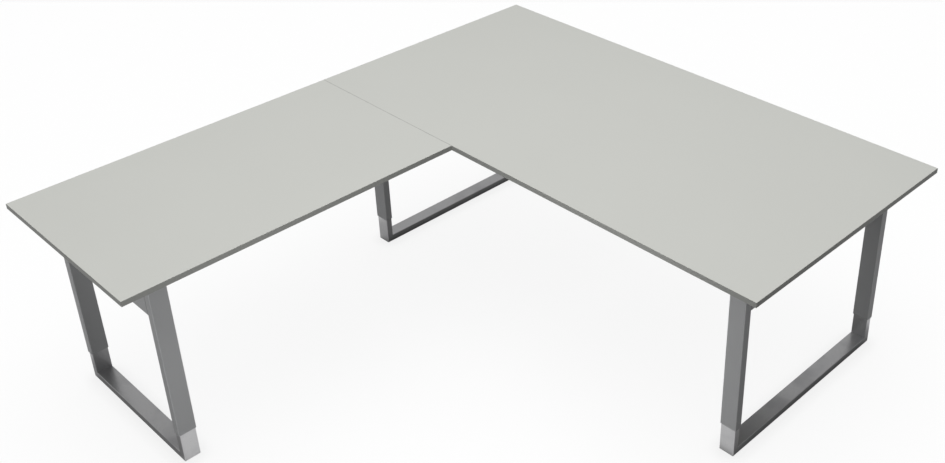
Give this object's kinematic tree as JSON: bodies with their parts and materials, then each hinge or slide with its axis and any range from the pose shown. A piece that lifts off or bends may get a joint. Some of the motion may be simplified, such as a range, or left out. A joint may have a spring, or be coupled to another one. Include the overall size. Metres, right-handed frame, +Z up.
{
  "type": "L-shaped office desk",
  "caption": "L-shaped office desk: thin pale grey worktops on telescopic sled frames, silver sleeves on chromed posts with floor runners, for setting the height by hand.",
  "frame": {"origin": "on the floor under the middle of the L's bounding box", "axes": "+Z up, +Y from the return's free end to the main worktop's rear edge, X along the main worktop with the return on the -X side"},
  "size_m": [2, 2.2, 0.72],
  "materials": {
    "worktop_laminate": "matt pale grey melamine on chipboard",
    "edge_band": "matt grey ABS",
    "silver_paint": "satin silver powder coat on steel",
    "chrome": "polished chrome on steel",
    "zinc": "bright zinc plate",
    "black_plastic": "black nylon"
  },
  "bodies": {
    "worktops_and_upper_frames": {"main_top_board": "worktop_laminate", "main_top_edge_band": "edge_band", "return_top_board": "worktop_laminate", "return_top_edge_band": "edge_band", "main_front_beam": "silver_paint", "main_rear_beam": "silver_paint", "return_left_beam": "silver_paint", "return_right_beam": "silver_paint", "main_beam_tabs": "silver_paint", "return_beam_tabs": "silver_paint", "left_seam_plate": "zinc", "right_seam_plate": "zinc", "beam_bolts": "zinc", "beam_nuts": "zinc", "clamp_bosses": "silver_paint", "clamp_screws": "zinc", "top_screws": "zinc", "right_cross_rail": "silver_paint", "right_guide_bushes": "black_plastic", "right_front_sleeve": "silver_paint", "right_front_mounting_plate": "silver_paint", "right_rear_sleeve": "silver_paint", "right_rear_mounting_plate": "silver_paint", "middle_cross_rail": "silver_paint", "middle_guide_bushes": "black_plastic", "middle_front_sleeve": "silver_paint", "middle_front_mounting_plate": "silver_paint", "middle_rear_sleeve": "silver_paint", "middle_rear_mounting_plate": "silver_paint", "return_cross_rail": "silver_paint", "return_guide_bushes": "black_plastic", "return_left_sleeve": "silver_paint", "return_left_mounting_plate": "silver_paint", "return_right_sleeve": "silver_paint", "return_right_mounting_plate": "silver_paint"},
    "right_sled": {"right_runner": "chrome", "right_post_plugs": "black_plastic", "right_glide_nuts": "zinc", "right_front_post": "chrome", "right_rear_post": "chrome"},
    "right_front_glide": {"right_front_glide": "black_plastic"},
    "right_rear_glide": {"right_rear_glide": "black_plastic"},
    "middle_sled": {"middle_runner": "chrome", "middle_post_plugs": "black_plastic", "middle_glide_nuts": "zinc", "middle_front_post": "chrome", "middle_rear_post": "chrome"},
    "middle_front_glide": {"middle_front_glide": "black_plastic"},
    "middle_rear_glide": {"middle_rear_glide": "black_plastic"},
    "return_sled": {"return_runner": "chrome", "return_post_plugs": "black_plastic", "return_glide_nuts": "zinc", "return_left_post": "chrome", "return_right_post": "chrome"},
    "return_left_glide": {"return_left_glide": "black_plastic"},
    "return_right_glide": {"return_right_glide": "black_plastic"}
  },
  "joints": [
    {"name": "desk_height", "type": "slide", "parent": "worktops_and_upper_frames", "child": "right_sled", "axis": [0, 0, -1], "range_m": [-0.04, 0.1]},
    {"name": "right_front_levelling", "type": "slide", "parent": "right_sled", "child": "right_front_glide", "axis": [0, 0, 1], "range_m": [-0.01, 0]},
    {"name": "right_rear_levelling", "type": "slide", "parent": "right_sled", "child": "right_rear_glide", "axis": [0, 0, 1], "range_m": [-0.01, 0]},
    {"name": "middle_height", "type": "slide", "parent": "worktops_and_upper_frames", "child": "middle_sled", "axis": [0, 0, -1], "range_m": [-0.04, 0.1]},
    {"name": "middle_front_levelling", "type": "slide", "parent": "middle_sled", "child": "middle_front_glide", "axis": [0, 0, 1], "range_m": [-0.01, 0]},
    {"name": "middle_rear_levelling", "type": "slide", "parent": "middle_sled", "child": "middle_rear_glide", "axis": [0, 0, 1], "range_m": [-0.01, 0]},
    {"name": "return_height", "type": "slide", "parent": "worktops_and_upper_frames", "child": "return_sled", "axis": [0, 0, -1], "range_m": [-0.04, 0.1]},
    {"name": "return_left_levelling", "type": "slide", "parent": "return_sled", "child": "return_left_glide", "axis": [0, 0, 1], "range_m": [-0.01, 0]},
    {"name": "return_right_levelling", "type": "slide", "parent": "return_sled", "child": "return_right_glide", "axis": [0, 0, 1], "range_m": [-0.01, 0]}
  ],
  "couplings": [
    {"joint": "middle_height", "follows": "desk_height", "ratio": 1},
    {"joint": "return_height", "follows": "desk_height", "ratio": 1}
  ]
}
